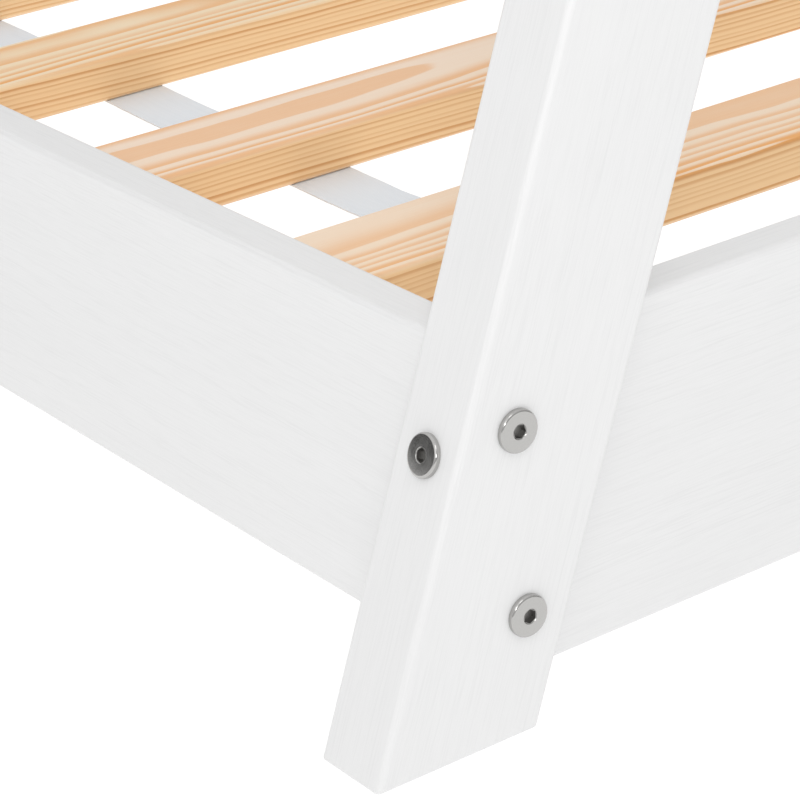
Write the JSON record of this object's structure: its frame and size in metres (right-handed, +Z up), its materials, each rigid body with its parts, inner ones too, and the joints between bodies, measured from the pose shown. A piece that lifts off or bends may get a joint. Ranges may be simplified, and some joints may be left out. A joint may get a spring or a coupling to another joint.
{
  "type": "teepee floor bed",
  "caption": "Low child's bed with slats between side rails, leaning legs that cross in half laps at both ends, and a ridge beam between the crossings.",
  "frame": {"origin": "on the floor, under the middle of the bed", "axes": "+X towards the foot end along the bed, +Y towards its right side, +Z up"},
  "size_m": [2.0888, 1.074, 1.4725],
  "materials": {
    "white_lacquered_pine": "thin white satin lacquer on planed pine, with the grain still felt",
    "bare_pine": "planed and sanded pine, not coated",
    "white_webbing": "flat woven polyester tape",
    "nickel_plated_steel": "bright nickel plate on turned heads",
    "zinc_plated_steel": "clear zinc plate",
    "beech": "turned beech, not coated"
  },
  "bodies": {
    "root": {"leg_foot_left": "white_lacquered_pine", "leg_foot_right": "white_lacquered_pine", "end_board_foot": "white_lacquered_pine", "leg_head_left": "white_lacquered_pine", "leg_head_right": "white_lacquered_pine", "end_board_head": "white_lacquered_pine", "side_rail_left": "white_lacquered_pine", "slat_ledger_left": "bare_pine", "slat_ribbon_left": "white_webbing", "side_rail_right": "white_lacquered_pine", "slat_ledger_right": "bare_pine", "slat_ribbon_right": "white_webbing", "ridge_beam": "white_lacquered_pine", "slat_01": "bare_pine", "slat_02": "bare_pine", "slat_03": "bare_pine", "slat_04": "bare_pine", "slat_05": "bare_pine", "slat_06": "bare_pine", "slat_07": "bare_pine", "slat_08": "bare_pine", "slat_09": "bare_pine", "slat_10": "bare_pine", "slat_11": "bare_pine", "slat_12": "bare_pine", "rail_bolts": "nickel_plated_steel", "rail_barrel_nuts": "zinc_plated_steel", "end_board_bolts": "nickel_plated_steel", "end_board_barrel_nuts": "zinc_plated_steel", "ridge_bolts": "nickel_plated_steel", "ridge_barrel_nuts": "zinc_plated_steel", "end_board_dowels": "beech"}
  },
  "joints": []
}
